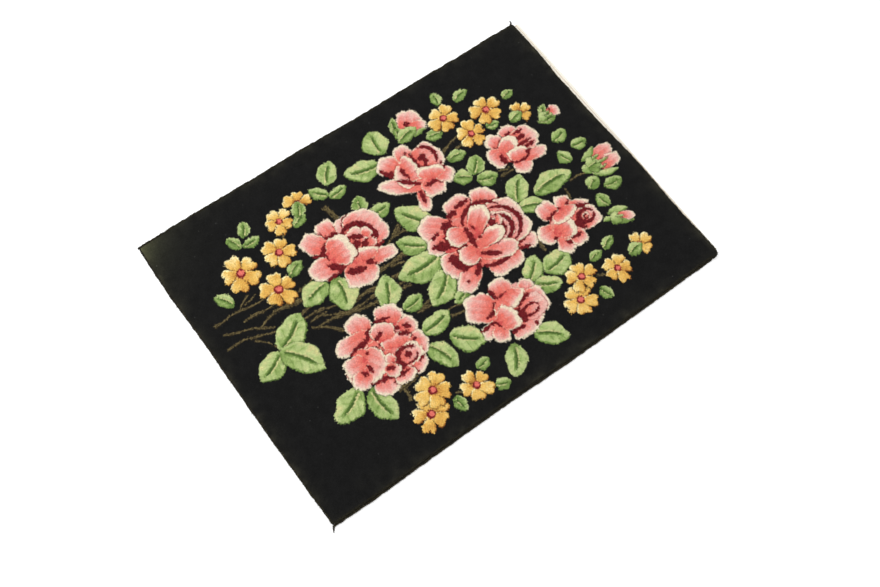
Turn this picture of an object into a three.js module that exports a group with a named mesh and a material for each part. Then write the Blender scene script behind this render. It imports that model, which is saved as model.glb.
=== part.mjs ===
// A small hand-knotted rug lying flat: wool pile on a woven foundation, overcast cords along
// both long sides, and a narrow cotton web left at one end.
// Millimetres, +Z up, +X along the length. The origin is on the floor under the pile's middle.

import * as THREE from "three";
import { mergeVertices } from "three/addons/utils/BufferGeometryUtils.js";

// Driving dimensions
const LENGTH = 820; // pile, end to end
const WIDTH = 600; // over both edge cords
const THICKNESS = 8.5; // floor to the tips of the pile
const CORD_DIAMETER = 4; // overcast cord on each long side
const WEB_THICKNESS = 1.6; // flat-woven cotton end
const GAP = 0.3; // between neighbouring pieces

// Worked out from them
const HALF_LENGTH = LENGTH / 2;
const CORD_RADIUS = CORD_DIAMETER / 2;
const CORD_LINE = WIDTH / 2 - CORD_RADIUS; // the cord's middle, from the rug's middle line
const HALF_PILE = WIDTH / 2 - CORD_DIAMETER - GAP; // the pile's wall beside a cord

// How far each side bows out of true, in mm. "at" runs from -1 to 1 along +X or +Y.
const BOW = {
  near: [
    { at: -1, out: -0.5 },
    { at: -0.8, out: 0.8 },
    { at: -0.5, out: -0.8 },
    { at: -0.2, out: -1.2 },
    { at: 0.25, out: 1.2 },
    { at: 0.45, out: 0.3 },
    { at: 0.8, out: -1 },
    { at: 1, out: -1.4 },
  ],
  far: [
    { at: -1, out: -1 },
    { at: -0.7, out: 0.5 },
    { at: -0.45, out: 0 },
    { at: -0.2, out: 1 },
    { at: 0.15, out: -1.2 },
    { at: 0.45, out: 0.3 },
    { at: 0.65, out: -0.5 },
    { at: 0.9, out: 1 },
    { at: 1, out: 0 },
  ],
  left: [
    { at: -1, out: -2.4 },
    { at: -0.85, out: -0.9 },
    { at: -0.45, out: 0.5 },
    { at: 0, out: 0 },
    { at: 0.25, out: -1 },
    { at: 0.65, out: 0.6 },
    { at: 0.85, out: -0.6 },
    { at: 1, out: -2.8 },
  ],
  right: [
    { at: -1, out: -0.8 },
    { at: -0.9, out: 0.2 },
    { at: -0.7, out: -1.2 },
    { at: -0.25, out: 1.8 },
    { at: 0.2, out: -1.8 },
    { at: 0.5, out: -2.2 },
    { at: 0.75, out: 1.6 },
    { at: 1, out: 1.2 },
  ],
};

// Radius of the pile's four corners, seen from above.
const CORNER_RADIUS = { nearLeft: 4, nearRight: 11, farRight: 3, farLeft: 6 };
const CORNER_STEPS = 6;
const SIDE_STEP = 20; // spacing of outline points along a side

// Past the end of the near cord the pile swells out to the cord's own line, and a slit stays between.
const LOBE_LENGTH = 14;
const LOBE_RISE = 1; // length over which the pile's wall steps out to the lobe
const LOBE_OUT = CORD_DIAMETER - 0.7;
const SLIT = 2.5;

// Section of the pile's rim: the wall's height above the floor, and how far it lies inside the outline.
const RIM = [
  { z: 0, inset: 0.6 },
  { z: 1, inset: 0 },
  { z: 6, inset: 0 },
  { z: 7.7, inset: 0.7 },
  { z: THICKNESS, inset: 2.4 },
];

// Reach of the web past the pile's end, along +Y.
const WEB_REACH = [
  { at: -1, out: 4.5 },
  { at: -0.5, out: 6.5 },
  { at: 0, out: 10.5 },
  { at: 0.6, out: 12 },
  { at: 1, out: 13 },
];
const WEB_NEAR_END = -286;
const WEB_FAR_END = 295;
const WEB_STEP = 24;

// Each cord ends in one loose tail of its yarn. Offsets are from the cord's last middle point.
const FAR_TAIL = [
  { x: 3, y: 3, radius: 1.5 },
  { x: 5.5, y: 6.5, radius: 1.2 },
  { x: 6.5, y: 9.5, radius: 1.1 },
  { x: 6, y: 12, radius: 0.8 },
];
const NEAR_TAIL = [
  { x: -2.5, y: -3.5, radius: 1.2 },
  { x: -4.5, y: -6.5, radius: 0.9 },
  { x: -6, y: -9.5, radius: 0.7 },
];
const CORD_SIDES = 8;
const CORD_STEP = 20;

// Value of a table of {at, out} rows at t, eased between rows.
function along(rows, t) {
  const next = rows.findIndex((row) => row.at >= t);
  if (next <= 0) return rows[next === 0 ? 0 : rows.length - 1].out;
  const [a, b] = [rows[next - 1], rows[next]];
  const share = THREE.MathUtils.smoothstep(t, a.at, b.at);
  return THREE.MathUtils.lerp(a.out, b.out, share);
}

// Numbers from start to end, evenly spaced at about the given step, both ends included.
function spaced(start, end, step) {
  const count = Math.max(1, Math.round(Math.abs(end - start) / step));
  return Array.from({ length: count + 1 }, (_, i) => start + ((end - start) * i) / count);
}

// The pile's walls: distance from the rug's middle line, or from its middle, at a place along a side.
function nearWall(x) {
  const lobeStart = HALF_LENGTH - LOBE_LENGTH;
  const lobe = LOBE_OUT * THREE.MathUtils.smoothstep(x, lobeStart, lobeStart + LOBE_RISE);
  return HALF_PILE + along(BOW.near, x / HALF_LENGTH) + lobe;
}
const farWall = (x) => HALF_PILE + along(BOW.far, x / HALF_LENGTH);
const leftWall = (y) => HALF_LENGTH + along(BOW.left, y / HALF_PILE);
const rightWall = (y) => HALF_LENGTH + along(BOW.right, y / HALF_PILE);

// A quarter turn of a corner, counterclockwise from startAngle. turnX and turnY are its outer corner.
function cornerArc(turnX, turnY, radius, startAngle) {
  const middleX = turnX - Math.sign(turnX) * radius;
  const middleY = turnY - Math.sign(turnY) * radius;
  return Array.from({ length: CORNER_STEPS + 1 }, (_, i) => {
    const angle = startAngle + (Math.PI / 2) * (i / CORNER_STEPS);
    return new THREE.Vector2(middleX + radius * Math.cos(angle), middleY + radius * Math.sin(angle));
  });
}

// The pile's outline, counterclockwise from its near left corner, moved in by inset.
function pileOutline(inset) {
  const r = CORNER_RADIUS;
  const point = (x, y) => new THREE.Vector2(x, y);
  const cornerX = (wall, y) => wall(y) - inset;
  const lobeStart = HALF_LENGTH - LOBE_LENGTH;
  const nearStations = [
    ...spaced(-HALF_LENGTH + 2 * r.nearLeft, lobeStart - 4, SIDE_STEP),
    lobeStart,
    lobeStart + LOBE_RISE,
  ];
  const farStations = spaced(HALF_LENGTH - 2 * r.farRight, -HALF_LENGTH + 2 * r.farLeft, SIDE_STEP);
  const rightStations = spaced(-HALF_PILE + 2 * r.nearRight, HALF_PILE - 2 * r.farRight, SIDE_STEP);
  const leftStations = spaced(HALF_PILE - 2 * r.farLeft, -HALF_PILE + 2 * r.nearLeft, SIDE_STEP);
  const nearY = (x) => -nearWall(x) + inset;
  const farY = (x) => farWall(x) - inset;
  const rightX = (y) => cornerX(rightWall, y);
  const leftX = (y) => -cornerX(leftWall, y);
  const arc = (turnX, turnY, radius, angle) => cornerArc(turnX, turnY, Math.max(radius - inset, 0.5), angle);
  return [
    ...nearStations.map((x) => point(x, nearY(x))),
    ...arc(rightX(-HALF_PILE), nearY(HALF_LENGTH), r.nearRight, -Math.PI / 2),
    ...rightStations.map((y) => point(rightX(y), y)),
    ...arc(rightX(HALF_PILE), farY(HALF_LENGTH), r.farRight, 0),
    ...farStations.map((x) => point(x, farY(x))),
    ...arc(leftX(HALF_PILE), farY(-HALF_LENGTH), r.farLeft, Math.PI / 2),
    ...leftStations.map((y) => point(leftX(y), y)),
    ...arc(leftX(-HALF_PILE), nearY(-HALF_LENGTH), r.nearLeft, Math.PI),
  ];
}

// A closed geometry from rings of equal length, each a list of Vector3, stacked from the first to the
// last. Rings run counterclockwise as seen from the last ring's side, and the end caps are triangulated
// from the two outlines given.
function stackedRings(rings, firstOutline, lastOutline) {
  const count = rings[0].length;
  const positions = rings.flat().flatMap((p) => [p.x, p.y, p.z]);
  const faces = [];
  for (let level = 0; level + 1 < rings.length; level += 1) {
    for (let i = 0; i < count; i += 1) {
      const [a, b] = [level * count + i, level * count + ((i + 1) % count)];
      faces.push(a, b, b + count, a, b + count, a + count);
    }
  }
  const top = (rings.length - 1) * count;
  for (const [a, b, c] of THREE.ShapeUtils.triangulateShape(firstOutline, [])) faces.push(a, c, b);
  for (const [a, b, c] of THREE.ShapeUtils.triangulateShape(lastOutline, [])) faces.push(top + a, top + b, top + c);
  const geometry = new THREE.BufferGeometry();
  geometry.setAttribute("position", new THREE.Float32BufferAttribute(positions, 3));
  geometry.setIndex(faces);
  return mergeVertices(geometry);
}

// The pile and its foundation: one flat slab with a rounded rim.
function pileGeometry() {
  const outlines = RIM.map((row) => pileOutline(row.inset));
  const rings = outlines.map((outline, i) => outline.map((p) => new THREE.Vector3(p.x, p.y, RIM[i].z)));
  return stackedRings(rings, outlines[0], outlines[outlines.length - 1]);
}

// A cord resting on the floor along a list of {x, y, radius} middle points.
function cordGeometry(path) {
  const rings = path.map((here, i) => {
    const before = path[Math.max(i - 1, 0)];
    const after = path[Math.min(i + 1, path.length - 1)];
    const side = new THREE.Vector2(before.y - after.y, after.x - before.x).normalize();
    return Array.from({ length: CORD_SIDES }, (_, k) => {
      const angle = ((k + 0.5) / CORD_SIDES) * 2 * Math.PI;
      const flat = Math.cos(Math.PI / CORD_SIDES); // the lowest face lies on the floor
      const out = here.radius * Math.cos(angle);
      const up = here.radius * (flat + Math.sin(angle));
      return new THREE.Vector3(here.x + side.x * out, here.y + side.y * out, up);
    });
  });
  const section = Array.from({ length: CORD_SIDES }, (_, k) => {
    const angle = ((k + 0.5) / CORD_SIDES) * 2 * Math.PI;
    return new THREE.Vector2(Math.cos(angle), Math.sin(angle));
  });
  return stackedRings(rings, section, section);
}

// The path of an edge cord, with its loose tail past its last point.
function cordPath(start, end, sideSign, bow, tail) {
  const run = spaced(start, end, CORD_STEP).map((x) => ({
    x,
    y: sideSign * (CORD_LINE + along(bow, x / HALF_LENGTH)),
    radius: CORD_RADIUS,
  }));
  const last = run[run.length - 1];
  const loose = tail.map((row) => ({ x: last.x + row.x, y: last.y + row.y, radius: row.radius }));
  return [...run, ...loose];
}

// The web: a thin strip beside the pile's right end, wider towards the far corner.
function webGeometry() {
  const stations = spaced(WEB_NEAR_END, WEB_FAR_END, WEB_STEP);
  const inner = stations.map((y) => new THREE.Vector2(rightWall(y) + GAP, y));
  const outer = stations.map((y) => new THREE.Vector2(HALF_LENGTH + along(WEB_REACH, y / HALF_PILE), y));
  const outline = [...inner.slice().reverse(), ...outer];
  const rings = [0, WEB_THICKNESS].map((z) => outline.map((p) => new THREE.Vector3(p.x, p.y, z)));
  return stackedRings(rings, outline, outline);
}

function material(color, roughness) {
  return new THREE.MeshStandardMaterial({ color, roughness, metalness: 0 });
}

function piece(name, geometry, finish) {
  geometry.computeVertexNormals();
  const mesh = new THREE.Mesh(geometry, finish);
  mesh.name = name;
  return mesh;
}

const pileFinish = material(0x1d1d1e, 0.95);
const cordFinish = material(0x3a3628, 0.9);
const webFinish = material(0xe9e1cc, 0.9);

const nearCordStart = -HALF_LENGTH + CORD_RADIUS;
const nearCordEnd = HALF_LENGTH - LOBE_LENGTH - SLIT;
const farCordEnd = HALF_LENGTH - CORD_RADIUS;

const rug = new THREE.Group();
rug.add(
  piece("pile_field", pileGeometry(), pileFinish),
  piece("edge_cord_near", cordGeometry(cordPath(nearCordEnd, nearCordStart, -1, BOW.near, NEAR_TAIL)), cordFinish),
  piece("edge_cord_far", cordGeometry(cordPath(-farCordEnd, farCordEnd, 1, BOW.far, FAR_TAIL)), cordFinish),
  piece("end_web", webGeometry(), webFinish),
);

export default rug;
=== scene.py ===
"""A small hand-knotted rug: black wool pile with a spray of roses, wrapped edge cords and a cotton web."""

import bpy
import numpy as np
from mathutils import Matrix, Vector
from numpy.random import default_rng


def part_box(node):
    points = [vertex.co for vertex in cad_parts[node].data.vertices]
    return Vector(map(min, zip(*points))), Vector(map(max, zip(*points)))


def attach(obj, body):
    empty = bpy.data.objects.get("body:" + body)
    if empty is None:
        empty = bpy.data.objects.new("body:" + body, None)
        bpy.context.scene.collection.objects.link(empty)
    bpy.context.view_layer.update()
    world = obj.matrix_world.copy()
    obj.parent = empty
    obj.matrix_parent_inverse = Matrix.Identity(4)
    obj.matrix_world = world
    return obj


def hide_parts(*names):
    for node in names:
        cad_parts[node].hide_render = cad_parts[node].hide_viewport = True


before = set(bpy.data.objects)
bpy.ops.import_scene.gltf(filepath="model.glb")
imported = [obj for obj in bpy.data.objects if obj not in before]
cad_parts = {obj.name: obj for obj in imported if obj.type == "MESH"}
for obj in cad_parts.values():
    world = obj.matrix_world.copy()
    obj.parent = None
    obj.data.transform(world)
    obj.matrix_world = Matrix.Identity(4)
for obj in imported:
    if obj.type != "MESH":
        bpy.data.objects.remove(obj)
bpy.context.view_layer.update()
MM = 0.001  # lengths below are in millimetres, and Blender's in metres


# Motifs of the pile

SEED = 41
KNOT = 2.3  # spacing of the pile's knots

YARN = {  # sRGB, 0 to 255
    "black": (21, 21, 21), "cream": (236, 220, 194), "pale": (235, 200, 186), "light": (234, 176, 165),
    "pink": (231, 148, 138), "coral": (227, 118, 104), "rose": (206, 82, 80), "maroon": (122, 34, 38),
    "wine": (88, 20, 26), "mint": (208, 204, 144), "leaf": (188, 202, 138), "green": (155, 177, 106),
    "moss": (117, 145, 74), "forest": (76, 102, 48), "lemon": (255, 238, 182), "gold": (231, 187, 97),
    "amber": (200, 140, 62), "rust": (136, 80, 36), "twig": (128, 113, 74), "bark": (48, 41, 28),
}
YARN_LEVEL = 0.88  # brightness of all yarns


def rgb(name):
    """The colour of a yarn."""
    return np.array(YARN[name], float)


def smooth_noise(rng, shape, cells):
    """Soft random patches from -1 to 1, about shape / cells wide."""
    rows, cols = cells
    coarse = rng.uniform(-1, 1, (rows + 2, cols + 2))
    fx = np.linspace(0, rows, shape[0])
    fy = np.linspace(0, cols, shape[1])
    i, j = fx.astype(int), fy.astype(int)
    a, b = (fx - i)[:, None], fy - j
    a, b = a * a * (3 - 2 * a), b * b * (3 - 2 * b)
    top = coarse[i][:, j] * (1 - b) + coarse[i][:, j + 1] * b
    low = coarse[i + 1][:, j] * (1 - b) + coarse[i + 1][:, j + 1] * b
    return top * (1 - a) + low * a


GROUND, STEM, LEAF, BLOSSOM, ROSE = range(5)  # kinds of motif
# Palettes: a tone and its yarn, from shade to light
PINKS = ((-0.08, "rose"), (0.08, "coral"), (0.28, "coral"), (0.52, "pink"), (0.78, "light"), (1.0, "pale"))
GREENS = ((0.0, "forest"), (0.22, "moss"), (0.48, "green"), (0.74, "leaf"), (1.0, "mint"))
GOLDS = ((0.0, "rust"), (0.2, "amber"), (0.46, "gold"), (0.62, "gold"), (1.0, "lemon"))
BROWNS = ((-0.4, "bark"), (0.5, "twig"))
LIGHT_WAY = 100  # blossoms look lit from this angle, in degrees from the rug's length
PETAL_TURN = 72  # degrees between a blossom's petals
GROUND_HALF_X, GROUND_HALF_Y = 410, 296  # half the length and width of the ground, which is paler olive at its edge: painted sheen over a brownish tint of the wool
# the pile's sheen on this corner is painted into its colour
SHEEN_CORNER = (-408, 292)
LINE, BLOSSOM_LINE = 1.3, 1.9  # width of the dark line round a motif, partly painted shade in its carved groove
OUTSIDE = -9  # a depth too far out to be lined
RADIAN = 57.3  # degrees


class Canvas:
    """Yarns of the pile: the place, colour and height of each, and the kind of motif that it belongs to."""

    def __init__(self, x, y):
        rng = default_rng(SEED)
        self.x, self.y = x, y
        self.grain = rng.random(x.shape) - 0.5
        self.patch = smooth_noise(rng, x.shape, (70, 52))
        self.colour = self.ground()
        self.relief = np.zeros(x.shape)
        self.kind = np.zeros(x.shape, int)

    def ground(self):
        """Black wool, a little uneven, with a paler olive edge, partly painted sheen and partly a brownish
        tint of the wool, and painted sheen on one corner.
        """
        edge = np.minimum(GROUND_HALF_X - abs(self.x), GROUND_HALF_Y - abs(self.y))
        corner = np.hypot(self.x - SHEEN_CORNER[0], self.y - SHEEN_CORNER[1])
        blotch = smooth_noise(default_rng(SEED + 4), self.x.shape, (24, 18))
        # painted sheen along the edge, over a brownish olive tint of the wool
        tone_shift = (15 + 9 * blotch) * np.exp(-edge / (9 + 4 * blotch)) * (1 + 0.7 * self.patch)
        # painted sheen of the nap on one corner, paler and olive
        pale = 58 * np.exp(-corner / 35)
        uneven = 1 + 0.10 * self.patch + 0.35 * self.grain
        brown, olive = np.array([1.0, 0.94, 0.6]), np.array([1.0, 1.03, 0.62])
        return rgb("black") * uneven[..., None] + tone_shift[..., None] * brown + pale[..., None] * olive

    def window(self, x, y, reach):
        """The part of the canvas within reach of a point. Painting there paints the whole."""
        i = slice(*np.searchsorted(self.x[:, 0], (x - reach, x + reach)))
        j = slice(*np.searchsorted(self.y[0], (y - reach, y + reach)))
        part = Canvas.__new__(Canvas)
        for layer, values in vars(self).items():
            setattr(part, layer, values[i, j])
        return part

    def local(self, x, y, tilt):
        """Distances along and across a line through a point, tilted by degrees from +X."""
        a = np.radians(tilt)
        dx, dy = self.x - x, self.y - y
        return dx * np.cos(a) + dy * np.sin(a), dy * np.cos(a) - dx * np.sin(a)

    def lay(self, mask, colours, relief, kind):
        """Paints the yarns of a mask."""
        self.colour[mask] = colours[mask]
        self.relief[mask] = np.broadcast_to(relief, mask.shape)[mask]
        self.kind[mask] = np.broadcast_to(kind, mask.shape)[mask]


def unit(values):
    """Values held between 0 and 1."""
    return np.clip(values, 0, 1)


def blend(t, stops):
    """Colours between yarns at the values t, from (value, yarn) rows."""
    at = [s[0] for s in stops]
    table = np.array([rgb(s[1]) for s in stops])
    return np.stack([np.interp(t, at, table[:, k]) for k in range(3)], axis=-1)


def mix(colours, yarn, share):
    """Colours with a share of one yarn mixed in."""
    return colours + (rgb(yarn) - colours) * np.asarray(share, float)[..., None]


def over(colours, mask, yarn):
    """Colours with one yarn in place of those of a mask."""
    return np.where(mask[..., None], rgb(yarn), colours)


def teeth(across, seed):
    """A jagged value from -1 to 1, steady along each stitch column."""
    column = np.floor(across / KNOT + 1000.5 + 7.3 * seed).astype(int)
    return ((column * 7919 + 104729) % 1013) / 506.0 - 1


def dark_red(c):
    """Two dark reds mixed from yarn to yarn."""
    return np.where((c.grain > 0.1)[..., None], rgb("wine"), rgb("maroon"))


def carve(c, depth, thick):
    """Carves a thin line round a motif, on the motifs that it lies over, and darkens it: partly a dark
    outline, partly painted shade in the groove.
    """
    line = (depth < 0) & (depth > -thick) & (c.kind != GROUND)
    # painted shade in the groove, with a dark outline
    c.lay(line, 0.6 * c.colour, c.relief - 0.4, c.kind)


def petal(canvas, x, y, length, width, tilt, rim, shade=0):
    """A fan of pink: coral at its base, a pale rim, and a dark red comb on the petals that it lies over."""
    c = canvas.window(x, y, 0.75 * max(length, width) + 16)
    u, v = c.local(x, y, tilt)
    a = u / (length / 2)
    taper = 0.9 + 0.1 * np.clip(a, -1, 1)
    b = v / (width / 2) / taper
    angle = np.arctan2(b, a)
    reach = np.maximum((abs(a) ** 2.3 + abs(b) ** 2.3) ** (1 / 2.3), 0.02)
    slope = np.hypot(a / (length / 2), b / (width / 2)) / reach
    lobes = 0.045 * np.cos(5 * angle + 0.37 * x) + 0.02 * np.cos(11 * angle + 0.7 * y)
    comb = teeth(angle * min(length, width) / 2, x + y)
    depth = (1 + lobes - reach) / slope + 0.5 * comb + 0.5 * c.grain + 1.3 * c.patch
    front = unit((a + 0.65) / 0.4)
    cast = shade * front * (1 + 0.4 * comb + 0.25 * c.patch)
    below = (depth < 0) & (depth > -cast) & (c.kind == ROSE)
    c.lay(below, dark_red(c), c.relief - 0.4, ROSE)
    carve(c, np.where(c.kind == ROSE, OUTSIDE, depth), LINE)
    facing = unit(0.62 + 0.6 * a)
    seam = (depth < 0) & (depth > -1.4) & (c.kind == ROSE) & (facing > 0.3)
    c.lay(seam, mix(c.colour, "maroon", 0.5 * facing), c.relief - 0.3, ROSE)

    share = (a + 1) / 2 - 0.08 * (1 - abs(np.clip(b, -1, 1)))
    tone = share + 0.13 * teeth(v, x - y) + 0.16 * c.grain + 0.14 * c.patch
    colours = blend(tone, PINKS)
    wide = max(rim - 3.2, 0) * unit(1.6 * a)
    rim_here = (1.1 * min(rim, 3.4) * facing + wide) * (1 + 0.3 * comb + 0.3 * c.patch)
    colours = mix(colours, "pale", 0.65 * facing * unit((rim_here + 9 * facing - depth) / 9))
    colours = mix(colours, "cream", unit(0.5 + (rim_here - depth) / 1.6) * (rim_here > 0.3))
    c.lay(depth > 0, colours, 0.5 + 0.6 * unit(depth / 6), ROSE)


def blot(canvas, x, y, length, width, tilt):
    """A jagged patch or streak of dark red."""
    c = canvas.window(x, y, 0.6 * max(length, width) + 8)
    u, v = c.local(x, y, tilt)
    comb = 1.2 * teeth(u, x - y) + 0.6 * c.grain
    half = (width / 2 + 0.6) * np.sqrt(unit(1 - (2 * u / length) ** 2)) * (0.95 + 0.2 * c.patch)
    mask = (abs(v) < half + comb) & (abs(u) < length / 2) & (half > 0.4)
    c.lay(mask, dark_red(c), 0.2, ROSE)


def stroke(canvas, x, y, rx, ry, start, end, thick):
    """A jagged arc of dark red on an ellipse, from one angle to another, thickest in its middle."""
    c = canvas.window(x, y, max(rx, ry) + thick + 4)
    u, v = c.local(x, y, 0)
    d = np.hypot(u / rx, v / ry)
    angle = np.degrees(np.arctan2(v / ry, u / rx))
    along = ((angle - start) % 360) / (end - start)
    radius = (rx + ry) / 2
    half = (thick / 2 + 0.5) * unit(np.sin(np.pi * unit(along))) ** 0.5
    jag = 0.8 * teeth(angle * radius / RADIAN, x - y) + 0.5 * c.grain
    mask = (along < 1) & (abs(d - 1) * radius < half + jag * (half > 1))
    c.lay(mask, dark_red(c), 0.25, ROSE)


def leaf(canvas, x, y, length, width, tilt):
    """A leaf with its tip to the tilt's way: one side deeper green, a dark rib with a pale line beside it."""
    c = canvas.window(x, y, 0.6 * length + 6)
    u, v = c.local(x, y, tilt)
    p = u / length + 0.5
    inside = np.clip(p, 0.001, 0.999)
    sign = 1 if (int(abs(x) + abs(y)) // 7) % 2 else -1
    curve = sign * 0.06 * length * (np.sin(np.pi * inside) - 0.5)
    half = width / 2 * np.sin(np.pi * inside ** 0.92) ** 0.66
    wave = 0.025 * width * np.cos(u / (0.075 * length) + x)
    side = v - curve
    depth = half + wave + 0.4 * c.grain - abs(side)
    depth = np.minimum(depth, 2 * length * np.minimum(p, 1 - p))
    carve(c, np.where((p > -0.05) & (p < 1.05), depth, OUTSIDE), LINE)
    mask = depth > 0
    across = np.clip(side / np.maximum(half, 0.1), -1, 1)
    down = np.radians(tilt)
    shade_side = np.sign(side) * (0.6 * np.sin(down) - np.cos(down))
    lit = (0.63 if length > 46 else 0.46) - 0.18 * shade_side * abs(across) + 0.16 * across ** 2
    lit += 0.26 * c.patch + 0.08 * c.grain
    vein = (u - 0.8 * abs(side)) / (0.2 * length) + 0.3 * np.sign(side)
    vein -= np.floor(vein)
    ribbed = length > 24 and width > 15
    lit = np.where((vein < 0.24) & (abs(across) < 0.85) & ribbed, lit - 0.17, lit)
    lit -= 0.24 * unit((0.28 - inside) / 0.28)
    colours = blend(lit, GREENS)
    colours = over(colours, (depth < 2.2 + 1.5 * c.patch) & (shade_side > 0.3), "moss")
    colours = over(colours, (depth < 2) & (inside > 0.15) & (shade_side < 0.3), "leaf")
    rib_width = 1.45 * (length / 50) ** 0.5
    long_rib = (p > 0.1) & (p < 0.8 + 0.1 * c.grain) & ribbed
    pale = (abs(side * sign - 1.6 * rib_width) < 0.95 * rib_width) & long_rib & (p < 0.7)
    colours = over(colours, pale, "mint")
    beside = (abs(side * sign + 1.2 * rib_width) < 1.5 * rib_width + 1.2 * c.patch) & long_rib
    colours = over(colours, beside, "moss")
    rib = (abs(side) < rib_width * (0.4 + np.sin(np.pi * inside))) & long_rib
    colours = over(colours, rib, "forest")
    c.lay(mask, colours, 0.45 + 0.55 * unit(depth / 5) - 0.4 * rib, LEAF)


def blossom(canvas, x, y, radius, turn, petals=5):
    """Golden petals that widen to notched ends, round a dark eye. Those to the light are paler."""
    c = canvas.window(x, y, 1.3 * radius + 4)
    for k in range(petals):
        way = turn + PETAL_TURN * k
        u, v = c.local(x, y, way)
        length = radius * (0.96 + 0.08 * np.cos(2.4 * k + x))
        width = 1.05 * radius * (1 + 0.08 * np.cos(1.7 * k + y))
        s = u / length
        inside = np.clip(s, 0.001, 0.999)
        half = width / 2 * inside ** 0.65 * np.sqrt(1 - 0.8 * unit((inside - 0.6) / 0.4) ** 2)
        notch = 0.09 * np.exp(-((v + 0.05 * width * np.cos(k)) / (0.1 * width)) ** 2)
        depth = np.minimum(half - abs(v), (1 - notch - s) * length) + 0.4 * c.grain + 0.6 * c.patch
        mask = (s > 0.05) & (depth > 0)
        carve(c, np.where(s > 0.25, depth, OUTSIDE), BLOSSOM_LINE)
        to_light = np.radians(way - LIGHT_WAY)
        lit = ((s - 0.55) * length * np.cos(to_light) - v * np.sin(to_light)) / (0.5 * radius)
        edge = unit(1 - depth / 2.6)
        tone = 0.25 + 0.47 * s + 0.14 * np.cos(2 * np.pi * v / 3.6 + k)
        tone += 0.12 * np.clip(lit, -1, 1) + 0.65 * edge * np.clip(1.6 * lit + 0.1, -1, 1)
        colours = blend(tone + 0.24 * c.patch + 0.14 * c.grain, GOLDS)
        c.lay(mask, colours, 0.45 + 0.5 * unit(depth / 4), BLOSSOM)
    u, v = c.local(x, y, 0)
    eye = np.hypot(u, v) < 0.25 * radius + 0.5 * c.grain
    shine = np.hypot(u - 0.04 * radius, v - 0.02 * radius) < 0.15 * radius
    c.lay(eye, np.where(shine[..., None], rgb("coral"), rgb("maroon")), 0.9, BLOSSOM)


def stem(canvas, x0, y0, x1, y1, bend, width):
    """A twig of brown strands between two points."""
    length = np.hypot(x1 - x0, y1 - y0)
    tilt = np.degrees(np.arctan2(y1 - y0, x1 - x0))
    middle = ((x0 + x1) / 2, (y0 + y1) / 2)
    c = canvas.window(*middle, length / 2 + abs(bend) + 10)
    u, v = c.local(*middle, tilt)
    p = unit(u / length + 0.5)
    sag = bend * np.sin(np.pi * p) + 1.5 * np.sin(u / 11 + x0)
    half = 0.47 * width * (0.9 + 0.25 * np.sin(u / 8 + y0)) + 0.6 * c.grain
    side = v - sag
    mask = (abs(u) < length / 2) & (abs(side) < half)
    strand = np.cos(2 * np.pi * side / 3.2 + np.sin(u / 9 + y0))
    lit = 0.35 * side / np.maximum(half, 0.5) + 0.6 * strand + 0.6 * c.grain
    c.lay(mask, blend(lit, BROWNS), 0.2, STEM)


# Tables of the spray, the lowest motif first, at places in mm on the rug. A row of a rose or bud is:
# petal: P, x, y, length, width, tilt, rim, shade if any; blot or leaf: B or L, x, y, length, width, tilt
# stroke: S, x, y, radius along x, radius along y, start, end, thickness
P, B, S, L = petal, blot, stroke, leaf

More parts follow.
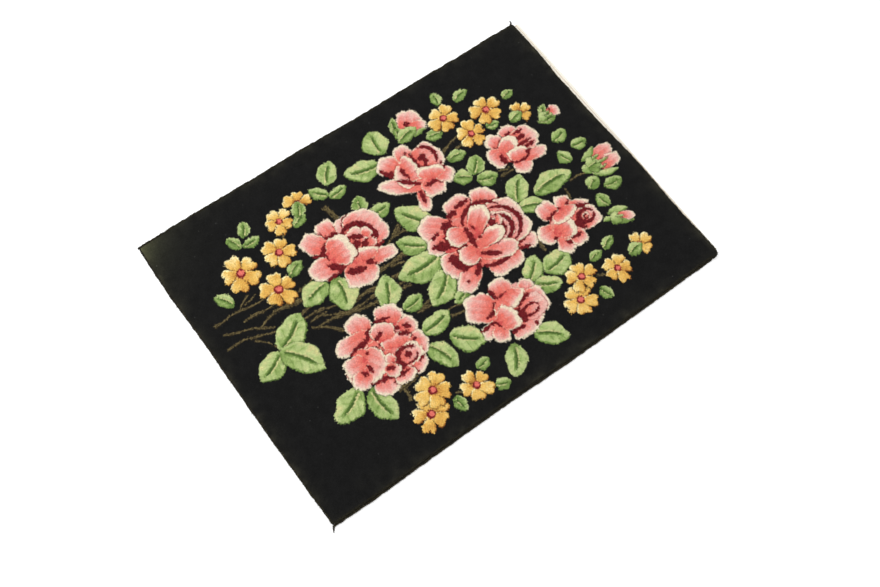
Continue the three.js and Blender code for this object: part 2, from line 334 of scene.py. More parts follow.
ROSES = [
    # centre
    (P, 92, -25, 150, 140, 0, 0), (P, 32, 26, 64, 60, 140, 3.4), (P, 18, 0, 46, 38, 190, 3.2),
    (P, 18, -46, 46, 56, 180, 3.2), (P, 24, -82, 60, 40, 210, 3.2), (B, 24, -7, 32, 19, -15),
    (B, 8, 1, 12, 6, 20), (B, 22, 17, 20, 7, 20), (B, 51, 24, 26, 12, 15), (B, 25, -48, 42, 21, 100),
    (B, 16, -35, 14, 6, 0), (B, 46, -76, 30, 9, 42), (B, 18, -85, 6, 6, 0), (P, 90, 42, 44, 58, 92, 3.4),
    (B, 71, 36, 22, 12, 5), (B, 97, 43, 30, 9, 0), (P, 136, 30, 43, 52, 50, 3.4, 3),
    (P, 145, -76, 50, 38, 325, 3.2, 2), (B, 138, -76, 38, 6, 14), (B, 138, -89, 30, 6, -16),
    (P, 94, -92, 40, 76, 270, 3.4, 2), (P, 128, -28, 104, 106, 0, 3.4, 2),
    (S, 112, -10, 42, 40, 22, 165, 8), (S, 120, -30, 46, 39, -78, 80, 8), (P, 116, -28, 76, 64, 0, 3.2),
    (S, 117, -32, 31, 27, -98, 72, 8), (P, 112, -28, 50, 44, 0, 2.0), (B, 124, -24, 42, 19, -58),
    (P, 133, -19, 11, 24, 330, 1.4), (S, 92, -60, 42, 28, 212, 325, 10), (P, 54, -5, 38, 44, 175, 3.4, 4),
    (P, 51, -46, 40, 42, 188, 3.2, 4), (P, 97, -65, 76, 40, 340, 3.6), (B, 83, -65, 38, 8, -34),
    (B, 72, -20, 46, 11, 82), (P, 104, 3, 56, 42, 40, 8, 2), (P, 101, -38, 60, 33, 5, 9, 2),
    (B, 86, -5, 12, 5, 95), (B, 86, -28, 7, 6, 60),
    # upper left
    (P, -106, 84, 96, 84, 0, 0), (P, -126, 136, 42, 42, 88, 3.6), (B, -125, 122, 30, 9, 5),
    (B, -139, 130, 22, 7, -62), (P, -159, 126, 50, 44, 122, 3.4), (B, -150, 108, 26, 10, 42),
    (B, -163, 101, 26, 8, -28), (P, -167, 77, 60, 46, 172, 3.6), (B, -150, 67, 34, 15, -45),
    (B, -163, 56, 36, 6, 4), (P, -122, 35, 52, 66, 265, 3.4, 3), (B, -126, 43, 36, 14, -18),
    (P, -76, 44, 62, 32, 350, 3.4, 2), (B, -94, 48, 28, 9, 25), (B, -97, 40, 18, 6, -40),
    (P, -91, 122, 44, 46, 98, 1.6), (P, -72, 99, 78, 90, 20, 3, 3), (S, -92, 88, 32, 33, -28, 122, 12),
    (B, -61, 84, 22, 14, 75), (P, -91, 95, 42, 40, 40, 3.2), (B, -91, 97, 28, 10, -32),
    (B, -103, 101, 14, 6, 20), (P, -71, 94, 18, 22, 30, 2), (B, -100, 84, 22, 17, 10),
    (B, -84, 77, 22, 12, 15), (P, -72, 72, 16, 16, 330, 1.6), (B, -68, 61, 28, 7, 8),
    (B, -152, 93, 20, 7, 82), (P, -105, 64, 26, 74, 72, 8), (P, -128, 91, 48, 64, 2, 11, 2),
    # top
    (P, 76, 143, 88, 84, 0, 0), (P, 37, 176, 46, 48, 118, 3.6), (B, 24, 168, 28, 9, -65),
    (B, 32, 160, 18, 8, 70), (P, 72, 184, 38, 36, 75, 3.6), (B, 69, 177, 26, 8, 40),
    (P, 33, 131, 82, 34, 147, 3.6), (P, 48, 85, 42, 24, 255, 3.2), (B, 51, 93, 28, 8, 75),
    (P, 80, 100, 40, 48, 270, 3.6), (B, 79, 108, 26, 8, 0), (B, 93, 103, 16, 5, -45),
    (P, 110, 110, 36, 38, 310, 3.4), (B, 106, 115, 18, 8, 0), (P, 104, 153, 56, 70, 0, 3, 2),
    (S, 99, 156, 22, 24, -55, 88, 8), (B, 96, 160, 18, 11, 15), (B, 97, 149, 18, 8, 60),
    (B, 94, 138, 26, 7, -35), (B, 112, 124, 20, 5, -5), (B, 119, 131, 8, 5, 70),
    (P, 52, 144, 40, 54, 172, 3.4), (B, 49, 130, 48, 8, -42), (P, 66, 152, 32, 62, 0, 9),
    (B, 51, 154, 18, 9, 85), (B, 53, 141, 12, 5, 90), (B, 82, 160, 40, 6, 90), (P, 92, 126, 28, 56, 68, 7),
    # right upper
    (P, 248, 77, 70, 64, 0, 0), (P, 223, 107, 40, 36, 105, 6), (B, 216, 96, 20, 7, -18),
    (B, 229, 101, 20, 7, 38), (P, 255, 113, 28, 38, 80, 3.2), (B, 249, 108, 22, 6, 14),
    (P, 208, 80, 34, 48, 185, 3.4), (B, 215, 71, 22, 12, 90), (P, 238, 46, 42, 40, 265, 3.4),
    (P, 269, 50, 52, 28, 355, 3.6), (P, 274, 86, 50, 56, 0, 3.6), (B, 271, 103, 22, 7, 0),
    (B, 266, 91, 26, 8, 0), (B, 267, 79, 32, 7, 0), (B, 273, 70, 26, 7, 0), (P, 238, 90, 44, 34, 25, 11),
    (P, 244, 65, 28, 46, 80, 5), (S, 244, 64, 21, 13, 190, 340, 6), (B, 263, 61, 14, 6, 12),
    # right lower
    (P, 233, -95, 76, 66, 0, 0), (P, 213, -57, 40, 42, 100, 3.6), (P, 247, -60, 32, 34, 80, 3.4),
    (P, 265, -77, 42, 24, 335, 3.4), (B, 208, -72, 18, 6, -35), (B, 217, -68, 22, 6, 22),
    (B, 237, -67, 22, 6, -5), (B, 252, -64, 20, 6, 30), (B, 267, -81, 36, 9, -28),
    (P, 188, -94, 40, 42, 180, 3.6), (B, 196, -108, 20, 7, 10), (P, 201, -127, 34, 36, 245, 3.4),
    (P, 228, -130, 28, 36, 275, 3.4), (B, 207, -126, 16, 6, -50), (B, 227, -124, 22, 8, 0),
    (P, 262, -106, 54, 48, 355, 3, 2), (S, 265, -103, 15, 12, 0, 359, 9), (P, 264, -104, 17, 14, 80, 3.2),
    (S, 264, -104, 4, 4, 0, 359, 3), (B, 243, -109, 32, 11, -58), (B, 236, -103, 18, 7, 90),
    (P, 213, -100, 34, 50, 5, 3.4), (P, 219, -99, 38, 48, 5, 12), (P, 235, -78, 26, 56, 278, 7),
    # lower left
    (P, -166, -108, 104, 96, 0, 0), (P, -184, -47, 50, 48, 92, 4), (P, -207, -66, 70, 40, 176, 3.6),
    (B, -203, -76, 46, 11, 12), (B, -178, -64, 20, 9, 48), (P, -133, -57, 44, 54, 55, 3.6),
    (B, -145, -57, 32, 7, -15), (P, -116, -90, 34, 40, 0, 3.2), (B, -117, -90, 16, 9, -50),
    (P, -118, -125, 34, 46, 350, 3.2), (B, -120, -116, 8, 8, 0), (P, -232, -119, 36, 48, 190, 3.6),
    (P, -204, -154, 42, 48, 255, 3.6), (P, -140, -152, 36, 42, 310, 3.2),
    (P, -170, -158, 30, 42, 272, 3.2, 2), (B, -208, -144, 40, 10, -10), (B, -191, -149, 14, 7, -30),
    (B, -170, -156, 26, 6, 3), (B, -129, -150, 18, 6, 25), (P, -148, -102, 26, 58, 80, 3, 2),
    (B, -134, -82, 16, 8, -40), (B, -127, -99, 24, 7, -25), (P, -157, -76, 36, 48, 70, 3, 2),
    (B, -166, -78, 22, 8, 20), (P, -146, -133, 54, 42, 0, 3.6), (S, -146, -134, 19, 15, 15, 240, 9),
    (B, -145, -133, 14, 12, 0), (S, -146, -135, 16, 13, 235, 352, 4), (B, -163, -145, 14, 9, 60),
    (P, -208, -110, 60, 66, 300, 5, 2), (P, -227, -100, 42, 38, 178, 3.2),
    (P, -232, -127, 36, 36, 215, 3.2), (B, -223, -120, 14, 7, -60), (B, -211, -118, 18, 7, 95),
    (B, -199, -92, 8, 4, 10), (P, -174, -122, 20, 18, 100, 3.2), (P, -181, -141, 26, 28, 300, 3.2, 2),
    (B, -182, -136, 16, 7, -25),
    # bottom
    (P, 54, -168, 92, 80, 0, 0), (P, 5, -139, 60, 62, 140, 3.6), (B, 14, -157, 30, 7, 6),
    (B, 25, -150, 22, 9, 55), (P, 54, -127, 39, 45, 75, 3.6), (B, 36, -128, 30, 7, 95),
    (B, 50, -140, 26, 8, -5), (P, 90, -150, 34, 34, 35, 3.4), (P, -2, -180, 44, 30, 195, 3.4),
    (P, 5, -194, 34, 34, 240, 3.4), (B, -6, -172, 34, 6, 6), (B, 12, -180, 24, 7, -62),
    (P, 92, -180, 40, 58, 350, 3.4), (P, 52, -206, 34, 72, 280, 3.4), (B, 66, -213, 8, 6, 0),
    (P, 72, -182, 66, 50, 350, 0), (B, 58, -169, 18, 6, -15), (B, 76, -165, 28, 7, 10),
    (S, 73, -188, 16, 9, 0, 359, 7), (B, 53, -187, 32, 14, 90), (B, 30, -203, 22, 8, 15),
    (B, 41, -205, 14, 6, -10), (P, 50, -154, 30, 74, 282, 6), (P, 31, -178, 38, 50, 0, 8),
]

BUDS = [
    # top left
    (L, 93, 240, 38, 17, 68), (P, 121, 234, 46, 50, 50, 2.4), (P, 131, 218, 29, 26, 330, 2.4),
    (B, 114, 232, 12, 11, 40), (L, 125, 205, 28, 9, 8), (L, 91, 224, 30, 16, 75), (L, 102, 213, 46, 27, 12),
    # top right
    (L, 336, 110, 34, 16, 55), (L, 333, 93, 36, 18, 350), (L, 331, 101, 24, 18, 20),
    (P, 353, 102, 22, 25, 350, 2), (B, 348, 106, 7, 5, 60), (L, 340, 104, 16, 5, 5),
    (L, 341, 97, 16, 5, 355),
    # right upper
    (P, 371, -18, 44, 31, 5, 2.2), (P, 370, -41, 44, 29, 4, 2.2), (L, 326, -31, 20, 20, 180),
    (L, 346, -8, 38, 13, 20), (L, 351, -55, 50, 13, 340), (L, 341, -31, 28, 34, 0),
    (L, 360, -32, 28, 6, 355), (L, 353, -20, 18, 5, 5), (L, 353, -43, 18, 5, 350),
    # right lower
    (L, 291, -131, 18, 10, 175), (L, 317, -127, 40, 15, 345), (L, 312, -148, 42, 15, 335),
    (L, 306, -138, 22, 24, 0), (P, 324, -144, 28, 18, 325, 1.6), (L, 313, -138, 16, 5, 330),
]

STEMS = [  # x0, y0, x1, y1, bend, width
    (-381, 95, -282, 89, 2, 5), (-327, 100, -303, 110, 1, 4), (-317, 98, -290, 108, -1, 4),
    (-376, 74, -297, 37, 1, 5), (-335, 73, -250, 70, 1, 6), (-315, 50, -282, 57, 3, 5),
    (-285, 58, -212, 50, 1, 9), (-229, 66, -192, 78, -2, 5), (-384, 47, -339, 41, 4, 5),
    (-343, 41, -297, 29, -1, 5), (-338, 35, -314, 1, 2, 4), (-249, 29, -202, 32, 1, 5),
    (-249, 21, -185, 9, 1, 6), (-247, 8, -212, 9, 3, 5), (-219, 8, -165, -23, -1, 5),
    (-249, 0, -200, -40, 1, 6), (-237, -6, -192, -12, 1, 6), (-202, -8, -137, -27, -1, 6),
    (-147, -25, -119, -22, -1, 7), (-174, -1, -102, -4, 1, 9), (-182, -14, -109, -16, 1, 7),
    (-96, 18, -37, 21, 2, 9), (-75, 16, -48, 6, 1, 5), (-86, -5, -68, -8, 0, 7), (-86, -21, -68, -23, 0, 6),
    (-86, -31, -66, -33, 0, 6), (-89, -76, -52, -76, 1, 6), (-88, -80, -56, -86, 1, 6),
    (-58, 50, -15, 72, 1, 8), (-36, 58, -8, 55, 1, 5), (-101, 178, -98, 132, 1, 9),
    (-111, 176, -98, 156, 1, 5), (-45, -120, 0, -130, 2, 7), (-42, -108, -12, -114, 1, 5),
    (120, 142, 186, 158, 2, 6), (128, 132, 190, 146, -2, 5), (190, 48, 240, 42, -2, 6),
    (192, 56, 215, 52, 0, 5), (285, -33, 325, -36, 1, 5), (-189, -202, -180, -166, 1, 9),
    (160, -86, 164, -116, 1, 7), (266, -38, 262, -60, 1, 6), (-196, -176, -154, -172, 1, 9),
    (-202, 156, -187, 181, 0, 5), (215, 170, 240, 172, 0, 5), (205, -205, 225, -212, 0, 5),
    (-122, -234, -102, -242, 0, 5),
]

LEAVES = [  # x, y, length, width, tilt
    (45, 231, 52, 50, 80), (-6, 198, 68, 43, 165), (13, 70, 72, 50, 125), (-209, 48, 58, 42, 195),
    (-170, 21, 63, 51, 255), (-281, 13, 74, 49, 30), (-341, -21, 60, 44, 205), (-291, -38, 81, 53, 303),
    (-21, 28, 56, 38, 138), (-33, -16, 88, 54, 178), (-27, -68, 74, 48, 215), (-107, -20, 62, 44, 60),
    (-83, -62, 42, 29, 8), (-73, -114, 63, 36, 8), (-98, -167, 65, 38, 290), (-45, -168, 64, 47, 320),
    (-276, -151, 68, 48, 205), (-229, -180, 70, 43, 275), (199, 10, 58, 42, 50), (200, -33, 56, 32, 335),
    (258, -15, 82, 41, 0), (122, -130, 55, 36, 40), (166, -144, 60, 46, 10), (128, -168, 51, 33, 330),
    (-5, -246, 60, 38, 235), (74, -244, 61, 42, 320), (-60, 230, 50, 36, 50), (-96, 205, 37, 24, 130),
    (-66, 188, 37, 22, 8), (-270, 207, 32, 21, 110), (-242, 221, 32, 22, 60), (-244, 193, 33, 19, 0),
    (-341, 125, 39, 24, 120), (-210, 107, 35, 24, 25), (-153, 180, 32, 21, 20), (142, 184, 32, 24, 170),
    (190, 245, 28, 21, 80), (232, 226, 35, 22, 15), (305, 178, 26, 19, 10), (243, 141, 26, 19, 350),
    (150, 126, 37, 24, 355), (-49, 145, 35, 29, 70), (-26, 116, 42, 29, 0), (132, 84, 35, 31, 150),
    (166, 92, 42, 33, 45), (168, 58, 40, 31, 345), (-8, -100, 35, 26, 200), (328, 53, 35, 26, 15),
    (308, 12, 30, 26, 110), (348, 20, 33, 24, 355), (317, -59, 30, 26, 30), (347, -79, 37, 26, 355),
    (309, -96, 30, 26, 100), (228, -174, 28, 19, 10), (262, -166, 32, 19, 25), (199, -239, 28, 22, 290),
    (-53, -218, 28, 21, 10), (-47, -266, 28, 22, 340), (-125, -253, 30, 22, 275),
]

BLOSSOMS = [  # x, y, radius, turn
    (-291, 152, 35, 20), (-216, 148, 30, 50), (-255, 90, 33, 5), (-183, 198, 26, 30), (252, 173, 31, 15),
    (177, 203, 30, 45), (199, 148, 29, 0), (-176, -240, 32, 10), (-150, -208, 33, 40), (-85, -243, 29, 25),
    (153, -224, 30, 35), (182, -191, 29, 5), (244, -215, 27, 50),
]

HALF_BLOSSOMS = [(-137, 210, 26, 350), (299, 133, 24, 300), (305, -201, 25, 300)]  # the same


def paint(x, y):
    """The whole pattern on yarns at the places x, y."""
    canvas = Canvas(x, y)
    for row in STEMS:
        stem(canvas, *row)
    for row in LEAVES:
        leaf(canvas, *row)
    for row in HALF_BLOSSOMS:
        blossom(canvas, *row, petals=3)
        hx, hy, radius, turn = row
        way = turn + PETAL_TURN
        back = np.radians(way + 180)
        leaf(canvas, hx + 0.45 * radius * np.cos(back), hy + 0.45 * radius * np.sin(back),
             1.25 * radius, 0.95 * radius, way)
    for row in BLOSSOMS:
        blossom(canvas, *row)
    for draw, *sizes in BUDS + ROSES:
        draw(canvas, *sizes)
    fray(canvas)
    return canvas


STRAY_KNOTS, STRAY_YARNS = 0.3, 0.22  # shares that take a neighbour's colour
YARN_SPREAD = 0.16  # spread of brightness from yarn to yarn
LINT_SHARE, LINT_GAIN = 0.0002, 55


def fray(canvas):
    """Lets yarns and whole knots take a neighbour's colour, for woolly edges, and drops some lint."""
    rng = default_rng(SEED + 7)
    rows, columns = canvas.kind.shape
    i, j = np.indices((rows, columns))
    half = (rows // 2, columns // 2)
    knots = rng.integers(-1, 2, (2,) + half) * (rng.random(half) < STRAY_KNOTS)
    knots = knots.repeat(2, axis=1).repeat(2, axis=2)
    yarns = rng.integers(-1, 2, (2, rows, columns)) * (rng.random((rows, columns)) < STRAY_YARNS)
    i = np.clip(i + knots[0] + yarns[0], 0, rows - 1)
    j = np.clip(j + knots[1] + yarns[1], 0, columns - 1)
    canvas.colour = canvas.colour[i, j] * (1 + YARN_SPREAD * (rng.random((rows, columns, 1)) - 0.5))
    lint = (rng.random((rows, columns)) < LINT_SHARE) & (canvas.kind == GROUND)
    canvas.colour[lint] += LINT_GAIN


# Mesh helpers

def new_piece(name, points_mm, faces, caps=(), smooth=True):
    """A mesh object from points in mm, an array of like faces, and caps: corners of single larger faces."""
    mesh = bpy.data.meshes.new(name)
    points = np.asarray(points_mm, np.float32) * MM
    corners = np.asarray(faces).tolist() + [cap.tolist() for cap in caps]
    mesh.from_pydata(points.tolist(), [], corners, shade_flat=not smooth)
    piece = bpy.data.objects.new(name, mesh)
    bpy.context.scene.collection.objects.link(piece)
    return piece


def quads(index, closed=False):
    """Faces between neighbours in an array of point numbers. Closed joins its last column to its first."""
    left = index if closed else index[:, :-1]
    right = np.roll(index, -1, axis=1) if closed else index[:, 1:]
    return np.stack([left[:-1], right[:-1], right[1:], left[1:]], axis=-1).reshape(-1, 4)


def colour_corners(piece, colours):
    """Stores an sRGB colour for each face corner as the linear colour "yarn"."""
    share = unit(np.asarray(colours, float) / 255)
    linear = np.where(share <= 0.04045, share / 12.92, ((share + 0.055) / 1.055) ** 2.4)
    rgba = np.ones((len(linear), 4), np.float32)
    rgba[:, :3] = linear * YARN_LEVEL
    layer = piece.data.color_attributes.new("yarn", "FLOAT_COLOR", "CORNER")
    layer.data.foreach_set("color", rgba.ravel())


def colour_faces(piece, colours):
    """Stores an sRGB colour for each face."""
    sizes = np.empty(len(piece.data.polygons), np.int32)
    piece.data.polygons.foreach_get("loop_total", sizes)
    colour_corners(piece, np.repeat(colours, sizes, axis=0))


def unfold(piece, flat_mm):
    """A flat layout of a piece, from its points' places on the floor in mm."""
    size = 2 * (HALF_LENGTH + 3 * PILE_TOP)
    uv = np.asarray(flat_mm) / size + np.array([0.5, 0.5 * HALF_PILE / HALF_LENGTH])
    corner = np.empty(len(piece.data.loops), np.int32)
    piece.data.loops.foreach_get("vertex_index", corner)
    layer = piece.data.uv_layers.new(name="OFBake")
    layer.data.foreach_set("uv", uv[corner].astype(np.float32).ravel())


def new_tube(name, rings):
    """A closed tube from an array of rings of points in mm, capped at both ends."""
    index = np.arange(rings[..., 0].size).reshape(rings.shape[:2])
    return new_piece(name, rings.reshape(-1, 3), quads(index, closed=True), [index[0][::-1], index[-1]])


def dress(piece, wool, stands_for=None):
    """Gives a piece its material and slot, hides the node that it stands for, and attaches it to its body."""
    piece.data.materials.append(wool)
    if stands_for:
        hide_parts(stands_for)
    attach(piece, "root")
    return piece


# The rug's outline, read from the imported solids

def node_points(name):
    """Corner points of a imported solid, in mm."""
    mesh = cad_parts[name].data
    points = np.empty(len(mesh.vertices) * 3, np.float32)
    mesh.vertices.foreach_get("co", points)
    return points.reshape(-1, 3).astype(float) / MM


PILE_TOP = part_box("pile_field")[1][2] / MM
WIDEST = 6  # height of the widest level of the solid's rim
WALL = node_points("pile_field")
WALL = WALL[abs(WALL[:, 2] - WIDEST) < 0.1]


def side_line(along, across, sign, reach):
    """A side of the pile as a function of the place along it, from the wall's points between its corners."""
    side = WALL[abs(WALL[:, along]) < reach]
    side = side[sign * side[:, across] > 0.8 * abs(side[:, across]).max()]
    side = side[np.argsort(side[:, along])]
    return lambda at: np.interp(at, side[:, along], side[:, across])


# The last value is how far a side runs from its middle before a corner rounds it
NEAR_SIDE = side_line(0, 1, -1, 398.5)
FAR_SIDE = side_line(0, 1, 1, 404)
LEFT_SIDE = side_line(1, 0, -1, 285)
RIGHT_SIDE = side_line(1, 0, 1, 276)
HALF_LENGTH, HALF_PILE = 410.0, 295.7  # half the pile's length and width
CORNERS = ((-1, -1, 4.0), (1, -1, 11.0), (1, 1, 3.0), (-1, 1, 6.0))  # side along X, side along Y, radius
CROWN_INSET = 2.4  # the flat top of the pile starts this far inside its wall
GROUND_DROP = 1.1  # the black ground lies this far under the highest motif
RIM = ((8.0, 1.3), (7.2, 0.45), (6.0, 0.0), (4.0, 0.0), (2.0, 0.1))  # height and inset of the pile's rim


def outline_grid(columns, rows, inset):
    """Points x, y of a grid laid into the rug's uneven outline, with rounded corners."""
    s, t = np.meshgrid(np.linspace(0, 1, columns + 1), np.linspace(0, 1, rows + 1), indexing="ij")
    even_x = (2 * s - 1) * HALF_LENGTH
    even_y = (2 * t - 1) * HALF_PILE
    left, right = LEFT_SIDE(even_y) + inset, RIGHT_SIDE(even_y) - inset
    near, far = NEAR_SIDE(even_x) + inset, FAR_SIDE(even_x) - inset
    x, y = left + (right - left) * s, near + (far - near) * t
    for side_x, side_y, radius in CORNERS:
        r = max(radius - inset, 0.6)
        edge_x, edge_y = (right if side_x > 0 else left), (far if side_y > 0 else near)
        u = 1 - side_x * (edge_x - x) / r
        v = 1 - side_y * (edge_y - y) / r
        inside = (u > 0) & (v > 0)
        round_u = u * np.sqrt(unit(1 - v * v / 2))
        round_v = v * np.sqrt(unit(1 - u * u / 2))
        x = np.where(inside, edge_x - side_x * r * (1 - round_u), x)
        y = np.where(inside, edge_y - side_y * r * (1 - round_v), y)
    return x, y


def rim_loop(columns, rows):
    """Places in a grid of its outer points, once round counterclockwise, as two arrays."""
    near = [(i, 0) for i in range(columns)]
    right = [(columns, j) for j in range(rows)]
    far = [(i, rows) for i in range(columns, 0, -1)]
    left = [(0, j) for j in range(rows, 0, -1)]
    return tuple(np.array(near + right + far + left).T)


def outward(loop):
    """Unit vectors pointing out of a counterclockwise loop of x, y points, softened along it."""
    run = np.roll(loop, -2, axis=0) - np.roll(loop, 2, axis=0)
    normal = np.stack([run[:, 1], -run[:, 0]], axis=1)
    return normal / np.linalg.norm(normal, axis=1, keepdims=True)


def uneven(rng, count, run):
    """Soft random steps round a loop, about run points long and of unit spread."""
    steps = np.fft.rfft(rng.normal(0, 1, count))
    steps *= np.exp(-(np.arange(len(steps)) * run / count) ** 2)
    wave = np.fft.irfft(steps, count)
    return wave / wave.std()


def cell_middles(points):
    """Middles of a grid's cells, from an array of its points."""
    return (points[:-1, :-1] + points[1:, :-1] + points[:-1, 1:] + points[1:, 1:]) / 4


def point_means(cells):
    """Means of the cells round each point of a grid."""
    return cell_middles(np.pad(cells, 1, mode="edge"))


# Materials

def settle(made, settings):
    """Sets a node's inputs and properties by name."""
    for key, value in settings.items():
        if key in made.inputs:
            made.inputs[key].default_value = value
        else:
            setattr(made, key, value)
    return made


def material(name, settings):
    """A new material with its shader's settings. Gives it with its nodes and shader."""
    mat = bpy.data.materials.new(name)
    mat.use_nodes = True
    shader = settle(mat.node_tree.nodes["Principled BSDF"], settings)
    return mat, mat.node_tree, shader


def node(tree, kind, **settings):
    """A new node of a kind."""
    return settle(tree.nodes.new(kind), settings)


DULL = 0.1  # specular level of wool, cotton and floor


def yarn_material(name, roughness, sheen, fibre_mm, fibre_bump, shade):
    """Wool or cotton: the colour "yarn" of each face, broken up by fibres, with a soft sheen."""
    mat, tree, shader = material(name, {"Roughness": roughness, "Specular IOR Level": DULL,
                                        "Sheen Weight": sheen, "Sheen Roughness": 0.45})
    link = tree.links.new
    place = node(tree, "ShaderNodeTexCoord")
    yarn = node(tree, "ShaderNodeVertexColor", layer_name="yarn")
    fibre = node(tree, "ShaderNodeTexNoise", Scale=1 / (fibre_mm * MM), Detail=3.0, Roughness=0.65)
    link(place.outputs["Object"], fibre.inputs["Vector"])
    levels = node(tree, "ShaderNodeMapRange", **{"From Min": 0.25, "From Max": 0.75,
                                                 "To Min": 1 - shade, "To Max": 1 + shade})
    link(fibre.outputs["Fac"], levels.inputs["Value"])
    shaded = node(tree, "ShaderNodeVectorMath", operation="SCALE")
    link(yarn.outputs["Color"], shaded.inputs[0])
    link(levels.outputs["Result"], shaded.inputs["Scale"])
    link(shaded.outputs["Vector"], shader.inputs["Base Color"])
    bump = node(tree, "ShaderNodeBump", Strength=0.8, Distance=fibre_bump * MM)
    link(fibre.outputs["Fac"], bump.inputs["Height"])
    link(bump.outputs["Normal"], shader.inputs["Normal"])
    return mat


# Columns: roughness, sheen, size of a fibre in mm, height of its bump in mm, depth of its shade
PILE_WOOL = yarn_material("pile_wool", 1.0, 0.04, 1.1, 0.7, 0.2)
BACK_WOOL = yarn_material("knotted_back", 0.95, 0.0, 1.6, 0.4, 0.15)
CORD_WOOL = yarn_material("cord_wool", 0.9, 0.04, 0.7, 0.35, 0.25)
COTTON = yarn_material("cotton", 0.95, 0.0, 0.8, 0.25, 0.10)


# The pile

EDGE_BUMP = 0.35  # unevenness of the pile's two ends
OWN_YARN = 0.8  # share of its own colour at each corner of a knot, the rest is the knot's mean
KNOT_RISE, KNOT_SHIFT = 0.12, 0.2  # spread of the knots' heights and places
RIM_SHIFT, RIM_RISE = 0.22, 0.15  # the same for the points of the rim
EDGE_WOOL = np.array([36.0, 34, 25])
WORN_WOOL = np.array([104.0, 94, 66])


def quarters(cells):
    """The four quarter cells of each knot, in the order of its face's corners."""
    return np.stack([cells[::2, ::2], cells[1::2, ::2], cells[1::2, 1::2], cells[::2, 1::2]], axis=2)


def knot_grid(columns, rows, inset):
    """Knots in the rug's outline: painted yarns, points x, y, their numbers, the rim's places and points."""
    fine_x, fine_y = outline_grid(2 * columns, 2 * rows, inset)
    canvas = paint(cell_middles(fine_x), cell_middles(fine_y))
    x, y = fine_x[::2, ::2], fine_y[::2, ::2]
    loop = rim_loop(columns, rows)
    edge = np.stack([x[loop], y[loop]], axis=1)
    return canvas, x, y, np.arange(x.size).reshape(x.shape), loop, edge


def make_pile():
    """The pile's top, a face for each knot, and its rounded rim. Gives the piece with its yarns and rim."""
    columns = round(2 * (HALF_LENGTH - CROWN_INSET) / KNOT)
    rows = round(2 * (HALF_PILE - CROWN_INSET) / KNOT)
    canvas, x, y, grid, loop, edge = knot_grid(columns, rows, CROWN_INSET)
    rng = default_rng(SEED + 1)
    level = PILE_TOP - GROUND_DROP + point_means(canvas.relief)[::2, ::2]
    z = level + rng.normal(0, KNOT_RISE, x.shape)
    count = len(edge)
    normal = outward(edge)
    jitter = rng.normal(0, KNOT_SHIFT, x.shape + (2,))
    jitter[loop] *= 0.3
    top = np.stack([x + jitter[..., 0], y + jitter[..., 1], z], axis=-1).reshape(-1, 3)
    bumps = EDGE_BUMP * uneven(rng, count, 5) * abs(normal[:, 0])
    rings, flat = [], []
    for height, inset in RIM:
        out = CROWN_INSET - inset + bumps + rng.normal(0, RIM_SHIFT, count)
        low = np.minimum(height + rng.normal(0, RIM_RISE, count), z[loop])
        rings.append(np.column_stack([edge + normal * out[:, None], low]))
        flat.append(edge + normal * (CROWN_INSET + PILE_TOP - height))
    ring_index = np.concatenate([grid[loop], x.size + np.arange(len(RIM) * count)]).reshape(-1, count)
    wall = quads(ring_index, closed=True)[:, ::-1]
    field = quads(grid)[:, [0, 3, 2, 1]]
    pile = new_piece("pile", np.concatenate([top] + rings), np.concatenate([field, wall]))
    corners = quarters(canvas.colour)
    corners = OWN_YARN * corners + (1 - OWN_YARN) * corners.mean(axis=2, keepdims=True)
    edge_tone = EDGE_WOOL * rng.uniform(0.7, 1.3, (len(wall), 1))
    colour_corners(pile, np.concatenate([corners.reshape(-1, 3), np.repeat(edge_tone, 4, axis=0)]))
    unfold(pile, np.concatenate([top[:, :2]] + flat))
    return dress(pile, PILE_WOOL, "pile_field"), canvas, (normal, rings)


def worn_wool(rng, count):
    """Colours of the yarns at the rug's edges: mostly black, some worn to a pale brown."""
    share = rng.random((count, 1)) ** 2.5
    return EDGE_WOOL * (1 - share) + WORN_WOOL * share


TUFT_SIDES = np.array([(0, 2, 1), (0, 1, 3), (1, 2, 3), (2, 0, 3)])  # three points of a foot, then the tip
TUFT_RADIUS = 0.8
TUFT_HEIGHT = (0.75, 1.15)  # least and most
TUFT_SINK = 0.35  # a tuft's foot lies this far under the yarns
RIM_SINK = 0.9  # the same for a tuft in the rim's wall
NAP = np.array([-0.15, -0.1, 0])  # the way that the tufts lean


def make_tufts(name, middles, leans, radius, colours, seed):
    """Ends of yarn: small closed spikes at points in mm, each leaning by its own offset to its tip."""
    rng = default_rng(seed)
    count = len(middles)
    turn = rng.uniform(0, 2 * np.pi, count)[:, None] + np.arange(3) * 2 * np.pi / 3
    way = leans / np.linalg.norm(leans, axis=1, keepdims=True)
    one = np.cross(way, np.array([0.3, 0.9, 0.3]))
    one /= np.linalg.norm(one, axis=1, keepdims=True)
    two = np.cross(way, one)
    foot = np.cos(turn)[..., None] * one[:, None] + np.sin(turn)[..., None] * two[:, None]
    foot *= radius * rng.uniform(0.8, 1.2, (count, 1, 1))
    points = np.concatenate([middles[:, None] + foot, (middles + leans)[:, None]], axis=1)
    faces = (TUFT_SIDES + 4 * np.arange(count)[:, None, None]).reshape(-1, 3)
    tufts = new_piece(name, points.reshape(-1, 3), faces, smooth=False)
    colour_faces(tufts, np.repeat(colours * rng.uniform(0.82, 1.18, (count, 1)), 4, axis=0))
    unfold(tufts, np.repeat(middles[:, :2], 4, axis=0))
    return dress(tufts, PILE_WOOL)


